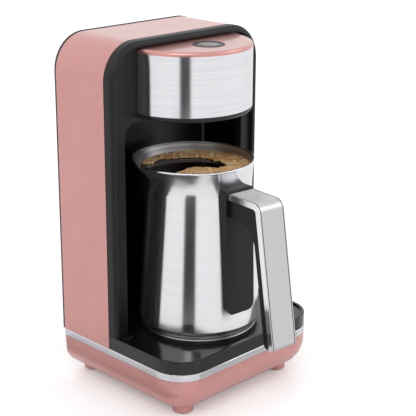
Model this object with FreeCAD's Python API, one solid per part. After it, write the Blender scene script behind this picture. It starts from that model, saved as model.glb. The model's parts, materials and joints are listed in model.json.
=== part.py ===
import FreeCAD, Part
import math
import os

# Electric Turkish coffee maker: a base with a heated deck, a column behind it with a
# niche for the pot, a half-round head over the niche with one push button, and a
# lift-out steel pot with a side handle. Millimetres, +Z up, X to the right, -Y to the
# user. Sizes below are in a working frame whose y = 0 is the seam between the painted
# column shell and the black front frame; every piece is moved by row_shift at the end.

# Plan of the base and the column
body_width = 155.0
deck_reach = 79.6
column_depth = 57.2
base_corner = 25.3
rear_corner = 5.0

# Feet
pad_radius = 6.5
pad_below_stub = 1.2
pad_in_stub = 1.4
stub_radius = 8.0
stub_height = 3.3
foot_side = 53.0
front_foot_back = 22.6
rear_foot_front = 8.7

# Base stack
tray_height = 30.1
tray_wall = 2.2
tray_edge_radius = 24.0
tray_rear_edge = 4.0
tray_steps = 6
band_height = 5.7
band_wall = 2.4
band_proud = 0.3
band_edge = 0.7
top_height = 10.7
top_wall = 2.4
deck_recess = 1.4
deck_thickness = 2.4
deck_rim = 2.6
top_edge = 1.0
lip_depth = 7.0
lip_wall = 1.6

# Column
column_top = 277.7
column_corner = 28.0
shell_wall = 2.4
shell_rear_edge = 1.0
panel_thickness = 2.0
panel_edge = 0.9
frame_depth = 9.0
frame_face = 5.5
frame_lip = 5.0
frame_edge = 3.4
frame_inner_edge = 1.0
frame_wall = 2.4
frame_over = 0.4

# Niche for the pot
niche_half = 62.5
niche_top = 217.0
niche_depth = 36.5
niche_corner = 10.0
liner_wall = 2.0

# Head
head_radius = 50.0
head_axis = 7.0
head_bottom = 220.0
band_bottom = 224.0
lid_bottom = 269.0
lid_thickness = 3.3
lid_edge = 2.3
head_wall = 2.0
head_cap_edge = 3.0
steel_wall = 0.9
steel_back_gap = 0.4
lid_skirt = 4.0

# Button in the lid
button_axis = 30.0
button_radius = 10.6
button_travel = 1.2
button_rise = 0.2
button_dish = 0.7
button_skirt = 5.0
button_wall = 1.2
stem_radius = 2.0
bezel_width = 1.5
bezel_proud = 0.35
bezel_flange = 1.6
guide_depth = 14.0
guide_wall = 1.4
guide_floor = 1.6
spring_radius = 4.6
spring_wire = 0.7
spring_turns = 5

# Hot plate
plate_radius = 45.7
plate_thickness = 2.5
plate_rise = 0.4
seal_width = 3.2
seal_thickness = 1.0
ledge_width = 4.4
ledge_thickness = 1.8
element_radius = 30.0
element_tube = 6.5
element_open = 60.0
element_leg = 14.0
clamp_width = 16.0
clamp_thickness = 1.5
cutout_radius = 8.0

# Pot
pot_axis = 20.5
pot_turn = -5.0
pot_foot_radius = 48.6
pot_neck_radius = 41.0
pot_rim_radius = 46.9
pot_wall = 1.0
pot_foot_edge = 5.0
pot_disc_radius = 43.0
pot_disc_thickness = 2.2
pot_neck_height = 113.0
pot_height = 135.2
mouth_offset = pot_rim_radius - pot_neck_radius
mouth_sections = 5
mouth_curve = 1.6
rim_bead = 0.9
spout_reach = 58.4
spout_root = 1.2
spout_sink = 16.0
spout_depth = 19.5
spout_tip_radius = 2.0

# Handle, with its reach measured from the pot's axis
bracket_half = 13.5
bracket_proud_high = 6.8
bracket_proud_low = 2.8
bracket_low = 70.0
bracket_high = 169.5
bracket_corner = 8.0
handle_half = 12.0
handle_top = 168.0
handle_top_fall = 0.4
handle_elbow = 81.5
handle_elbow_radius = 8.0
handle_foot = 57.5
handle_lean = 0.167
handle_inner_elbow = 73.5
handle_inner_lean = 0.165
handle_inner_radius = 20.0
handle_under = 149.5
cover_wall = 1.4
cover_lip = 4.6

# Electronics
board_thickness = 1.6
power_board_half = 40.0
power_board_front = 2.0
power_board_back = 44.0
power_board_height = 12.0
relay_size = (20.0, 15.0, 15.5)
transformer_size = (20.0, 17.0, 16.0)
terminal_size = (15.0, 9.0, 12.0)
capacitor_radius = 5.0
capacitor_height = 18.0
switch_board_half = 22.0
switch_size = 6.0
switch_body_height = 3.4
plunger_radius = 1.7
sensor_board_half = 11.5
sensor_board_depth = 8.0
lens_radius = 5.2
lens_flange = 7.2
buzzer_radius = 6.0
buzzer_height = 7.0

# Cord inlet
inlet_radius = 5.0
inlet_flange = 7.5
inlet_bore = 3.4
inlet_side = 44.0
inlet_height = 60.0

# Screws
screw_radius = 1.5
screw_head_radius = 3.0
screw_head_height = 2.0
boss_radius = 4.2

# Base inside
tower_top = 24.0
screw_seat = 7.0
base_screw_length = 27.0
element_pin = 6.0
clamp_screw_length = 3.0
tab_half = 3.15
board_screw_length = 5.0
vent_front = -34.0
vent_length = 30.0
vent_pitch = 7.0
vent_count = 7

# Column inside
panel_lip = 4.0
panel_over = 0.4
panel_inset = 0.3
panel_recess = 1.0
panel_boss_length = 22.0
panel_screw_length = 14.0
inlet_lip = 0.9
louvre_half = 13.0
louvre_height = 2.6
louvre_pitch = 6.0
louvre_count = 6
louvre_foot = 196.0
tongue_depth = 5.0
niche_back_radius = 4.0

# Head inside
head_wire_height = 250.0
head_wire_radius = 5.0
head_boss_length = 10.0
head_screw_length = 9.0
cap_plate = 2.2
switch_board_depth = 11.0
buzzer_x = 6.0
plunger_rise = 1.0

# Handle fixing
handle_start = 48.0
handle_screw_level = 158.5
handle_screw_seat = 62.0
handle_screw_length = 16.3
stud_radius = 3.0
stud_end = 46.6
stud_pilot = 3.0

# Clearances
fit = 0.15
skin = 0.3

# Levels and places worked out from the sizes
half_width = body_width / 2
tray_bottom = pad_below_stub + stub_height
tray_top = tray_bottom + tray_height
band_top = tray_top + band_height
top_rim = band_top + top_height
deck_level = top_rim - deck_recess
deck_under = deck_level - deck_thickness
plate_top = deck_level + plate_rise
plate_under = plate_top - plate_thickness
ledge_top = plate_under - seal_thickness
ledge_under = ledge_top - ledge_thickness
front_y = -deck_reach
back_y = column_depth
panel_front = back_y - panel_thickness
frame_front = -frame_depth
frame_flat = -frame_face
frame_top = column_top + frame_over
head_back = frame_flat
lid_top = lid_bottom + lid_thickness
foot_places = [(side * foot_side, y) for side in (-1, 1)
               for y in (front_y + front_foot_back, back_y - rear_foot_front)]
pot_bottom = plate_top
wall_foot = pot_bottom + pot_disc_thickness
neck_level = wall_foot + pot_neck_height - pot_disc_thickness
rim_level = pot_bottom + pot_height
pot_y = -pot_axis
button_y = -button_axis
cap_top = lid_top + button_rise
bezel_inner = button_radius + skin
bezel_outer = bezel_inner + bezel_width
flange_radius = bezel_outer + 1.8
guide_floor_top = lid_top - guide_depth
guide_under = guide_floor_top - guide_floor
plunger_top = guide_under - button_travel - 0.1
switch_board_top = plunger_top - plunger_rise - switch_body_height
switch_post_x = (-17.5, 17.5)
sensor_board_level = head_bottom + head_wall + 3.6
sensor_post_x = (-9.4, 9.4)
plate_hole = plate_radius + skin
clamp_screw_x = plate_hole - ledge_width / 2
power_board_holes = [(s * (power_board_half - 4), y) for s in (-1, 1)
                     for y in (power_board_front + 4, power_board_back - 4)]
relay_place = (-22.0, 21.0)
transformer_place = (8.0, 22.0)
terminal_place = (24.0, 35.0)
capacitor_place = (-12.0, 35.0)
vent_places = [(i - (vent_count - 1) / 2) * vent_pitch for i in range(vent_count)]
louvre_levels = [louvre_foot + i * louvre_pitch for i in range(louvre_count)]
louvre_columns = (-32.0, 0.0, 32.0)
panel_screw_side = half_width - shell_wall - 3.4
panel_screw_places = [(s * panel_screw_side, z) for s in (-1, 1) for z in (75.0, 165.0)]
panel_screw_places += [(s * 42.0, column_top - shell_wall - 3.4) for s in (-1, 1)]
head_screw_places = [(s * 36.0, z) for s in (-1, 1) for z in (head_bottom + 12, lid_bottom - 12)]

V = FreeCAD.Vector
UP = V(0, 0, 1)


def corner_wire(corners, place):
    """Closed wire through (u, v, radius) corners, each rounded by a tangent arc."""
    count = len(corners)
    edges = []
    ends = []
    for i in range(count):
        here = V(corners[i][0], corners[i][1], 0)
        radius = corners[i][2]
        before = V(corners[i - 1][0], corners[i - 1][1], 0) - here
        after = V(corners[(i + 1) % count][0], corners[(i + 1) % count][1], 0) - here
        if radius <= 0:
            ends.append((here, None, here))
            continue
        before.normalize()
        after.normalize()
        half_angle = before.getAngle(after) / 2
        reach = radius / math.tan(half_angle)
        middle = before + after
        middle.normalize()
        centre = here + middle * (radius / math.sin(half_angle))
        ends.append((here + before * reach, centre - middle * radius, here + after * reach))
    for i in range(count):
        start, bend, finish = ends[i]
        if bend is not None:
            edges.append(Part.Arc(place(start), place(bend), place(finish)).toShape())
        onward = ends[(i + 1) % count][0]
        if (onward - finish).Length > 1e-6:
            edges.append(Part.LineSegment(place(finish), place(onward)).toShape())
    return Part.Wire(edges)


def plan(z):
    return lambda p: V(p.x, p.y, z)


def front(y):
    return lambda p: V(p.x, y, p.y)


def side(x):
    return lambda p: V(x, p.x, p.y)


def plan_prism(corners, z0, z1):
    return Part.Face(corner_wire(corners, plan(z0))).extrude(V(0, 0, z1 - z0))


def front_prism(corners, y0, y1):
    return Part.Face(corner_wire(corners, front(y0))).extrude(V(0, y1 - y0, 0))


def side_prism(corners, half):
    return Part.Face(corner_wire(corners, side(-half))).extrude(V(2 * half, 0, 0))


def box(x0, x1, y0, y1, z0, z1):
    return Part.makeBox(x1 - x0, y1 - y0, z1 - z0, V(x0, y0, z0))


def post(x, y, z0, z1, radius):
    return Part.makeCylinder(radius, z1 - z0, V(x, y, z0), UP)


def rod_y(x, z, y0, y1, radius):
    return Part.makeCylinder(radius, y1 - y0, V(x, y0, z), V(0, 1, 0))


def join(first, *rest):
    return first.fuse(list(rest)).removeSplitter() if rest else first


def base_outline(inset, rear_inset=None):
    """Plan of the base drawn in by inset: broad front corners and tight rear ones."""
    w = half_width - inset
    y0 = front_y + inset
    y1 = back_y - (inset if rear_inset is None else rear_inset)
    r = base_corner - inset
    rear = max(rear_corner - inset, rear_corner / 2)
    return [(-w, y0, r), (w, y0, r), (w, y1, rear), (-w, y1, rear)]


def tray_form(inset):
    """Outside of the tray drawn in by inset: turned under broadly but for its flat back."""
    radius = tray_edge_radius - inset
    rear_radius = tray_rear_edge - inset
    foot = tray_bottom + inset
    sections = []
    for step in range(tray_steps + 1):
        turn = math.radians(90 * step / tray_steps)
        rise = radius * (1 - math.cos(turn))
        below = max(rear_radius - rise, 0)
        rear_inset = inset + rear_radius - math.sqrt(rear_radius ** 2 - below ** 2)
        sections.append(corner_wire(base_outline(inset + radius * (1 - math.sin(turn)), rear_inset),
                                    plan(foot + rise)))
    bowl = Part.makeLoft(sections, True, False)
    return bowl, foot + radius


def arch(half, foot, top, radius):
    """Upright outline of the column: straight sides and rounded shoulders."""
    return [(-half, foot, 0), (half, foot, 0), (half, top, radius), (-half, top, radius)]


def edges_at(shape, test):
    return [e for e in shape.Edges if all(test(v.Point) for v in e.Vertexes)]


def near(a, b):
    return abs(a - b) < 1e-3


def screw(tip, direction, length):
    """Pan-head screw whose head seats at tip and whose shank runs along direction."""
    shank = Part.makeCylinder(screw_radius, length, tip, direction)
    head = Part.makeCylinder(screw_head_radius, screw_head_height, tip, direction * -1)
    slot_depth = screw_head_height / 2
    slot = Part.makeCylinder(screw_radius * 0.7, slot_depth,
                             tip - direction * screw_head_height, direction)
    return join(shank, head).cut(slot)


def base_shell():
    bowl, upright = tray_form(0)
    outer = join(bowl, plan_prism(base_outline(0), upright, tray_top))
    floor = tray_bottom + tray_wall
    bowl, upright = tray_form(tray_wall)
    inner = join(bowl, plan_prism(base_outline(tray_wall), upright, tray_top + 1))
    stubs = [post(x, y, pad_below_stub, tray_bottom + tray_edge_radius / 2, stub_radius)
             for x, y in foot_places]
    stubs = [s.common(join(outer, box(-half_width, half_width, front_y, back_y, 0, floor)))
             for s in stubs]
    tray = join(outer.cut(inner), *stubs)
    towers = [post(x, y, floor - 0.5, tower_top, boss_radius + 1.2) for x, y in foot_places]
    posts = [post(x, y, floor - 0.5, power_board_height, 3.0) for x, y in power_board_holes]
    tray = join(tray, *towers, *posts)
    seats = [post(x, y, 0, pad_below_stub + pad_in_stub, pad_radius + fit) for x, y in foot_places]
    heads = [post(x, y, 0, screw_seat, screw_head_radius + fit * 2) for x, y in foot_places]
    holes = [post(x, y, 0, tower_top + 1, screw_radius + fit) for x, y in foot_places]
    pilots = [post(x, y, floor + 1, power_board_height + 1, screw_radius + 0.02)
              for x, y in power_board_holes]
    slots = [box(x - 1.5, x + 1.5, vent_front, vent_front + vent_length, 0, floor + 1)
             for x in vent_places]
    return tray.cut(seats + heads + holes + pilots + slots)


def foot_pad(x, y):
    pad = post(x, y, 0, pad_below_stub + pad_in_stub, pad_radius)
    return pad.makeFillet(0.5, edges_at(pad, lambda p: near(p.z, 0)))


def base_trim_band():
    ring = plan_prism(base_outline(-band_proud), tray_top, band_top)
    ring = ring.makeFillet(band_edge, [e for e in ring.Edges if e.BoundBox.ZLength < 1e-3])
    return ring.cut(plan_prism(base_outline(band_wall), tray_top - 1, band_top + 1))


def base_top():
    w = half_width - 0.1
    r = base_corner - 0.1
    y0 = front_y + 0.1
    rear_half = half_width - shell_wall - fit
    rear_y = panel_front - fit
    front_part = plan_prism([(-w, y0, r), (w, y0, r), (w, 0, 0), (-w, 0, 0)], band_top, top_rim)
    rim_edges = [e for e in front_part.Edges
                 if e.BoundBox.ZLength < 1e-3 and near(e.BoundBox.ZMin, top_rim) and e.BoundBox.YMin < -1]
    front_part = front_part.makeFillet(top_edge, rim_edges)
    rear_part = box(-rear_half, rear_half, -1, rear_y, band_top, top_rim)
    body = join(front_part, rear_part)
    wi = w - deck_rim
    ri = r - deck_rim
    yi = y0 + deck_rim
    pocket = join(
        plan_prism([(-wi, yi, ri), (wi, yi, ri), (wi, frame_front - deck_rim, 4),
                    (-wi, frame_front - deck_rim, 4)], deck_level, top_rim + 1),
        plan_prism([(-niche_half, frame_front - deck_rim - 6, 0), (niche_half, frame_front - deck_rim - 6, 0),
                    (niche_half, niche_depth, niche_corner), (-niche_half, niche_depth, niche_corner)],
                   deck_level, top_rim + 1))
    wc = w - top_wall
    rc = r - top_wall
    yc = y0 + top_wall
    core = join(
        plan_prism([(-wc, yc, rc), (wc, yc, rc), (wc, -top_wall, 0), (-wc, -top_wall, 0)],
                   band_top - 1, deck_under),
        box(-rear_half + top_wall, rear_half - top_wall, -top_wall - 1, rear_y - top_wall,
            band_top - 1, deck_under))
    lip_out = plan_prism(base_outline(band_wall + fit), tray_top - lip_depth + band_height, band_top)
    lip_in = plan_prism(base_outline(band_wall + fit + lip_wall), 0, band_top + 1)
    lip = lip_out.cut(lip_in)
    ledge = post(0, pot_y, ledge_under, deck_under, plate_hole + 2.0)
    ledge = ledge.cut(post(0, pot_y, ledge_top, deck_under + 1, plate_hole))
    body = join(body.cut(pocket).cut(core), lip)
    body = body.cut(post(0, pot_y, deck_under - 1, top_rim, plate_hole))
    body = join(body, ledge)
    body = body.cut(post(0, pot_y, 0, top_rim, plate_hole - ledge_width))
    bosses = [post(x, y, tower_top, deck_under + 0.5, boss_radius) for x, y in foot_places]
    body = join(body, *bosses)
    pilots = [post(x, y, tower_top - 1, tower_top + 14, screw_radius + 0.02) for x, y in foot_places]
    pilots += [post(s * clamp_screw_x, pot_y, ledge_under - 1, ledge_under + clamp_screw_length,
                    screw_radius + 0.02) for s in (-1, 1)]
    wire_slot = plan_prism([(inlet_side - 16, niche_depth + 4, 2), (inlet_side - 2, niche_depth + 4, 2),
                            (inlet_side - 2, rear_y - 4, 2), (inlet_side - 16, rear_y - 4, 2)],
                           band_top, top_rim + 1)
    return body.cut(pilots + [wire_slot])


def hot_plate():
    plate = post(0, pot_y, plate_under, plate_top, plate_radius)
    return plate.makeChamfer(0.4, edges_at(plate, lambda p: near(p.z, plate_top)))


def plate_seal():
    outer = post(0, pot_y, ledge_top, plate_under, plate_radius - 0.1)
    return outer.cut(post(0, pot_y, ledge_top - 1, plate_under + 1, plate_radius - 0.1 - seal_width))


def heating_element():
    """Open ring of sheathed element with a cold end turned down at each side."""
    z = plate_under - element_tube / 2 - 0.05
    half_gap = math.radians(element_open / 2)
    start = V(-element_radius * math.sin(half_gap), pot_y + element_radius * math.cos(half_gap), z)
    outward = V(start.x, start.y - pot_y, 0)
    tangent = UP.cross(outward)
    circle = Part.Wire(Part.Circle(start, tangent, element_tube / 2).toShape())
    ring = Part.Face(circle).revolve(V(0, pot_y, z), UP, 360 - element_open)
    ends = [start, V(-start.x, start.y, z)]
    balls = [Part.makeSphere(element_tube / 2, p) for p in ends]
    legs = [post(p.x, p.y, z - element_leg, z, element_tube / 2) for p in ends]
    pins = [post(p.x, p.y, z - element_leg - element_pin, z - element_leg, element_tube / 5) for p in ends]
    return join(ring, *balls, *legs, *pins)


def element_clamp():
    """Pressed strip that holds the element up against the plate."""
    high = ledge_under
    low = plate_under - element_tube - 0.1
    end = plate_hole
    knee = plate_hole - ledge_width - 1.0
    foot = element_radius + element_tube
    t = clamp_thickness
    profile = [(-end, high), (-knee, high), (-foot, low), (foot, low), (knee, high), (end, high),
               (end, high - t), (knee - t, high - t), (foot - t / 2, low - t),
               (-foot + t / 2, low - t), (-knee + t, high - t), (-end, high - t)]
    strip = front_prism([(x, z, 0) for x, z in profile], pot_y - clamp_width / 2, pot_y + clamp_width / 2)
    holes = [post(s * clamp_screw_x, pot_y, 0, top_rim, screw_radius + fit) for s in (-1, 1)]
    return strip.cut(holes)


def clamp_screws():
    seat = ledge_under - clamp_thickness
    return [screw(V(s * clamp_screw_x, pot_y, seat), UP, clamp_screw_length) for s in (-1, 1)]


def thermal_cutout():
    """Disc thermostat pressed between the clamp strip and the plate."""
    foot = plate_under - element_tube - 0.1
    can = post(0, pot_y, foot, plate_under, cutout_radius)
    can = can.makeFillet(0.6, edges_at(can, lambda p: near(p.z, plate_under)))
    tabs = [box(-tab_half, tab_half, pot_y + s * (cutout_radius + 3) - 4, pot_y + s * (cutout_radius + 3) + 4,
                foot + 1, foot + 1.8) for s in (-1, 1)]
    return join(can, *tabs)


def base_screws():
    return [screw(V(x, y, screw_seat), UP, base_screw_length) for x, y in foot_places]


def power_board():
    z = power_board_height
    board = box(-power_board_half, power_board_half, power_board_front, power_board_back,
                z, z + board_thickness)
    holes = [post(x, y, z - 1, z + board_thickness + 1, screw_radius + fit) for x, y in power_board_holes]
    return board.cut(holes)


def board_screws():
    z = power_board_height + board_thickness
    return [screw(V(x, y, z), UP * -1, board_screw_length) for x, y in power_board_holes]


def block_on_board(size, x, y):
    """Moulded component with softened top edges, standing on the power board."""
    z = power_board_height + board_thickness
    body = box(x - size[0] / 2, x + size[0] / 2, y - size[1] / 2, y + size[1] / 2, z, z + size[2])
    return body.makeFillet(0.8, edges_at(body, lambda p: near(p.z, z + size[2])))


def transformer():
    """Wound core: a bobbin between the two limbs of a laminated frame."""
    frame_part = block_on_board(transformer_size, *transformer_place)
    z = power_board_height + board_thickness
    x, y = transformer_place
    length = transformer_size[1] / 2 + 2.5
    coil = box(x - transformer_size[0] / 4, x + transformer_size[0] / 4, y - length, y + length,
               z + 2.5, z + transformer_size[2] - 2.5)
    return join(frame_part, coil)


def terminal_block():
    body = block_on_board(terminal_size, *terminal_place)
    z = power_board_height + board_thickness
    x, y = terminal_place
    ports = [post(x + i * terminal_size[0] / 3, y, z + 4, z + terminal_size[2] + 1, 1.6)
             for i in (-1, 0, 1)]
    return body.cut(ports)


def filter_capacitor():
    z = power_board_height + board_thickness
    can = post(capacitor_place[0], capacitor_place[1], z, z + capacitor_height, capacitor_radius)
    return can.makeFillet(0.7, edges_at(can, lambda p: near(p.z, z + capacitor_height)))


def outer_shell():
    outer = front_prism(arch(half_width, band_top, column_top, column_corner), 0, panel_front)
    rear_edges = [e for e in outer.Edges
                  if e.BoundBox.YLength < 1e-3 and near(e.BoundBox.YMin, panel_front)
                  and e.BoundBox.ZMax > band_top + 1]
    outer = outer.makeFillet(shell_rear_edge, rear_edges)
    inner = front_prism(arch(half_width - shell_wall, band_top - 1, column_top - shell_wall,
                             column_corner - shell_wall), -1, panel_front + 1)
    bosses = [rod_y(x, z, panel_front - panel_boss_length, panel_front - panel_lip - fit, boss_radius)
              for x, z in panel_screw_places]
    bosses = [b.common(front_prism(arch(half_width - 1, band_top, column_top - 1, column_corner - 1),
                                   0, back_y)) for b in bosses]
    pilots = [rod_y(x, z, panel_front - panel_boss_length + 2, panel_front, screw_radius + 0.02)
              for x, z in panel_screw_places]
    return join(outer.cut(inner), *bosses).cut(pilots)


def back_panel():
    inset = panel_inset
    plate = front_prism(arch(half_width - inset, band_top, column_top + panel_over, column_corner - inset),
                        panel_front, back_y)
    rear_edges = [e for e in plate.Edges
                  if e.BoundBox.YLength < 1e-3 and near(e.BoundBox.YMin, back_y)
                  and e.BoundBox.ZMax > band_top + 1]
    plate = plate.makeFillet(panel_edge, rear_edges)
    skirt = shell_wall + fit
    lip_foot = top_rim + fit
    lip = front_prism(arch(half_width - skirt, lip_foot, column_top - skirt, column_corner - skirt),
                      panel_front - panel_lip, panel_front)
    lip = lip.cut(front_prism(arch(half_width - skirt - lip_wall, lip_foot - 1, column_top - skirt - lip_wall,
                                   column_corner - skirt - lip_wall), panel_front - 9, panel_front + 1))
    room = front_prism(arch(half_width - skirt, lip_foot, column_top - skirt, column_corner - skirt),
                       panel_front - panel_lip, panel_front)
    bosses = [rod_y(x, z, panel_front - panel_lip, panel_front, boss_radius).common(room)
              for x, z in panel_screw_places]
    holes = [rod_y(x, z, panel_front - 9, back_y + 1, screw_radius + fit) for x, z in panel_screw_places]
    recesses = [rod_y(x, z, back_y - panel_recess, back_y + 1, screw_head_radius + 0.4)
                for x, z in panel_screw_places]
    louvres = [front_prism([(c - louvre_half, z, 1.2), (c + louvre_half, z, 1.2),
                            (c + louvre_half, z + louvre_height, 1.2), (c - louvre_half, z + louvre_height, 1.2)],
                           panel_front - 1, back_y + 1)
               for c in louvre_columns for z in louvre_levels]
    inlet = [rod_y(inlet_side, inlet_height, panel_front - 1, back_y + 1, inlet_radius),
             rod_y(inlet_side, inlet_height, back_y - inlet_lip, back_y + 1, inlet_flange + 0.1)]
    return join(plate, lip, *bosses).cut(holes + recesses + louvres + inlet)


def panel_screws():
    return [screw(V(x, back_y - panel_recess, z), V(0, -1, 0), panel_screw_length)
            for x, z in panel_screw_places]


def cord_grommet():
    """Rubber bush in the rear panel, with a groove that grips the panel's edge."""
    stem = rod_y(inlet_side, inlet_height, panel_front - inlet_lip, back_y, inlet_radius - 0.05)
    outside = rod_y(inlet_side, inlet_height, back_y - inlet_lip, back_y, inlet_flange)
    outside = outside.makeFillet(0.6, edges_at(outside, lambda p: near(p.y, back_y)))
    inside = rod_y(inlet_side, inlet_height, panel_front - inlet_lip, panel_front, inlet_radius + 1.2)
    bore = rod_y(inlet_side, inlet_height, panel_front - 9, back_y + 1, inlet_bore)
    return join(stem, outside, inside).cut(bore)


def front_frame():
    outer = front_prism(arch(half_width - 0.1, top_rim, frame_top, column_corner + frame_over), frame_front, 0)
    lip_edges = [e for e in outer.Edges
                 if e.BoundBox.YLength < 1e-3 and near(e.BoundBox.YMin, frame_front)
                 and e.BoundBox.ZMax > top_rim + 1]
    outer = outer.makeFillet(frame_edge, lip_edges)
    recess = front_prism(arch(half_width - frame_lip, top_rim - 1, frame_top - frame_lip,
                              column_corner - frame_lip), frame_front - 1, frame_flat)
    outer = outer.cut(recess)
    inner_edges = [e for e in outer.Edges
                   if e.BoundBox.YLength < 1e-3 and near(e.BoundBox.YMin, frame_front)
                   and e.BoundBox.XMax < half_width - frame_lip + 0.1
                   and e.BoundBox.XMin > frame_lip - half_width - 0.1 and e.BoundBox.ZMax > top_rim + 1]
    outer = outer.makeFillet(frame_inner_edge, inner_edges)
    hollow = front_prism(arch(half_width - frame_wall - 0.1, top_rim + frame_wall, frame_top - frame_wall,
                              column_corner - frame_wall), frame_flat + frame_wall, 1)
    rim = front_prism(arch(niche_half + liner_wall + frame_wall, top_rim - 1, niche_top + liner_wall + frame_wall,
                           niche_corner + liner_wall + frame_wall), frame_flat, 1)
    mouth = front_prism(arch(niche_half, top_rim - 1, niche_top, niche_corner), frame_front - 1, 1)
    skirt = shell_wall + fit
    tongue = front_prism(arch(half_width - skirt, top_rim + fit, column_top - skirt, column_corner - skirt),
                         0, tongue_depth)
    tongue = tongue.cut(front_prism(arch(half_width - skirt - lip_wall, top_rim, column_top - skirt - lip_wall,
                                         column_corner - skirt - lip_wall), -1, tongue_depth + 1))
    tongue_root = front_prism(arch(half_width - skirt, top_rim + fit, column_top - skirt, column_corner - skirt),
                              -frame_wall, 0.5)
    tongue_root = tongue_root.cut(front_prism(arch(half_width - skirt - lip_wall, top_rim,
                                                   column_top - skirt - lip_wall,
                                                   column_corner - skirt - lip_wall), -9, 9))
    holes = [rod_y(x, z, frame_front - 1, 1, screw_radius + fit) for x, z in head_screw_places]
    wires = rod_y(0, head_wire_height, frame_front - 1, 1, head_wire_radius)
    return join(outer.cut(hollow.cut(rim)), tongue, tongue_root).cut([mouth, wires] + holes)


def niche_liner():
    inner = front_prism(arch(niche_half, top_rim - 1, niche_top, niche_corner), -1, niche_depth)
    rear_edges = [e for e in inner.Edges
                  if e.BoundBox.YLength < 1e-3 and near(e.BoundBox.YMin, niche_depth)
                  and e.BoundBox.ZMax > top_rim + 1]
    inner = inner.makeFillet(niche_back_radius, rear_edges)
    outer = front_prism(arch(niche_half + liner_wall, top_rim, niche_top + liner_wall,
                             niche_corner + liner_wall), 0, niche_depth + liner_wall)
    return outer.cut(inner)


def head_prism(radius, back, z0, z1):
    """Half-round prism: a full arc to the front and straight sides back to the frame."""
    cy = -head_axis
    end_y = min(back, cy)
    half = math.sqrt(radius ** 2 - (end_y - cy) ** 2)
    left = V(-half, end_y, z0)
    right = V(half, end_y, z0)
    edges = [Part.Arc(left, V(0, cy - radius, z0), right).toShape()]
    corners = [right, V(half, back, z0), V(-half, back, z0), left] if back > cy else [right, left]
    edges += [Part.LineSegment(a, b).toShape() for a, b in zip(corners, corners[1:])]
    return Part.Face(Part.Wire(edges)).extrude(V(0, 0, z1 - z0))


def head_housing():
    inner_radius = head_radius - steel_wall - 0.1
    cap = head_prism(head_radius, head_back, head_bottom, band_bottom)
    cap = cap.makeFillet(head_cap_edge, [e for e in cap.Edges if near(e.BoundBox.ZMax, head_bottom)
                                         and e.BoundBox.YMin < -head_axis + 1])
    wall = head_prism(inner_radius, head_back, band_bottom, lid_bottom)
    floor = head_bottom + head_wall
    hollow = head_prism(inner_radius - head_wall, head_back - head_wall, floor, lid_bottom + 1)
    rear_bosses = [rod_y(x, z, head_back - head_boss_length, head_back, boss_radius)
                   for x, z in head_screw_places]
    board_posts = [post(x, pot_y, floor - 0.5, sensor_board_level, 2.0) for x in sensor_post_x]
    body = join(join(cap, wall).cut(hollow), *rear_bosses, *board_posts)
    pilots = [rod_y(x, z, head_back - head_boss_length + 1.5, head_back + 1, screw_radius + 0.02)
              for x, z in head_screw_places]
    lens_hole = post(0, pot_y, head_bottom - 1, floor + 1, lens_radius + fit)
    wires = rod_y(0, head_wire_height, head_back - head_wall - 1, head_back + 1, head_wire_radius)
    return body.cut(pilots + [lens_hole, wires])


def head_screws():
    seat = frame_flat + frame_wall
    return [screw(V(x, seat, z), V(0, -1, 0), head_screw_length) for x, z in head_screw_places]


def steel_band():
    back = head_back - steel_back_gap
    outer = head_prism(head_radius, back, band_bottom, lid_bottom)
    return outer.cut(head_prism(head_radius - steel_wall, back + 1, band_bottom - 1, lid_bottom + 1))


def head_lid():
    back = head_back - steel_back_gap
    lid = head_prism(head_radius, back, lid_bottom, lid_top)
    lid = lid.makeFillet(lid_edge, [e for e in lid.Edges if near(e.BoundBox.ZMin, lid_top)
                                         and e.BoundBox.YMin < -head_axis + 1])
    skirt_radius = head_radius - steel_wall - 0.1 - head_wall - fit
    skirt = head_prism(skirt_radius, head_back - head_wall - fit, lid_bottom - lid_skirt, lid_bottom)
    skirt = skirt.cut(head_prism(skirt_radius - lip_wall, head_back - head_wall - fit - lip_wall,
                                 lid_bottom - 9, lid_bottom + 1))
    posts = [post(x, button_y, switch_board_top, lid_bottom, 2.6) for x in switch_post_x]
    body = join(lid, skirt, *posts)
    pilots = [post(x, button_y, switch_board_top - 1, switch_board_top + 8, screw_radius + 0.02)
              for x in switch_post_x]
    hole = post(0, button_y, lid_bottom - 1, lid_top + 1, bezel_outer + fit)
    return body.cut(pilots + [hole])


def button_bezel():
    """Collar in the lid: a thin raised ring with a flange under the lid."""
    ring = post(0, button_y, lid_bottom - bezel_flange, lid_top + bezel_proud, bezel_outer)
    ring = ring.makeFillet(bezel_proud, edges_at(ring, lambda p: near(p.z, lid_top + bezel_proud)))
    flange = post(0, button_y, lid_bottom - bezel_flange, lid_bottom, flange_radius)
    return join(ring, flange).cut(post(0, button_y, 0, lid_top + 5, bezel_inner))


def button_guide():
    """Cup under the collar that guides the cap and carries its spring."""
    top = lid_bottom - bezel_flange
    cup = post(0, button_y, guide_under, top, bezel_inner + guide_wall)
    ear = post(0, button_y, top - bezel_flange, top, flange_radius)
    bore = post(0, button_y, guide_floor_top, top + 1, bezel_inner)
    stem_hole = post(0, button_y, guide_under - 1, guide_floor_top + 1, stem_radius + skin)
    return join(cup, ear).cut([bore, stem_hole])


def button_cap():
    """Dished cap with a skirt in the guide and a stem that reaches the switch."""
    cap = post(0, button_y, cap_top - cap_plate, cap_top, button_radius)
    cap = cap.makeFillet(0.5, edges_at(cap, lambda p: near(p.z, cap_top)))
    dish_width = button_radius - 1.4
    ball = (dish_width ** 2 + button_dish ** 2) / (2 * button_dish)
    dish = Part.makeSphere(ball, V(0, button_y, cap_top - button_dish + ball))
    skirt = post(0, button_y, cap_top - cap_plate - button_skirt, cap_top - cap_plate, button_radius)
    skirt = skirt.cut(post(0, button_y, 0, cap_top, button_radius - button_wall))
    stem = post(0, button_y, guide_under, cap_top - cap_plate, stem_radius)
    return join(cap.cut(dish), skirt, stem)


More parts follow.
